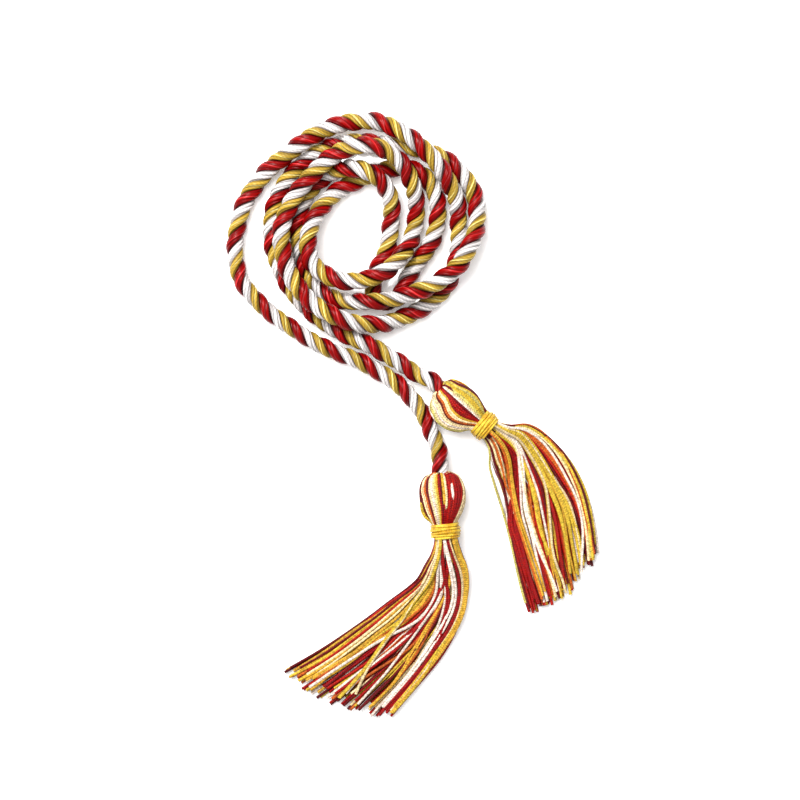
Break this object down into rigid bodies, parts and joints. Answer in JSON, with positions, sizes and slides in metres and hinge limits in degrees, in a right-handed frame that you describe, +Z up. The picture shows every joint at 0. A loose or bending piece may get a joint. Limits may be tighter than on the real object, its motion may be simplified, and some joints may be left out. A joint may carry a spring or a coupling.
{
  "type": "honor cord",
  "caption": "Twisted honor cord in red, gold and white, folded at its middle and laid down in a loose coil, with a bound yarn tassel on each end.",
  "frame": {"origin": "middle of the outline's box, on the surface that the cord lies on", "axes": "+Z up from that surface, +Y from the tassels towards the coil, +X to the right with the coil away from the viewer"},
  "size_m": [0.1944, 0.313, 0.0282],
  "materials": {
    "cord_yarn": "satin twisted yarn, one ply each of red, gold and silver white",
    "tassel_yarn": "satin yarn strands in red, yellow, white and maroon",
    "binding_thread": "satin yellow thread, wound close"
  },
  "bodies": {
    "root": {"twisted_cord": "cord_yarn", "tassel_lower": "tassel_yarn", "tassel_right": "tassel_yarn", "binding_lower": "binding_thread", "binding_right": "binding_thread"}
  },
  "joints": []
}
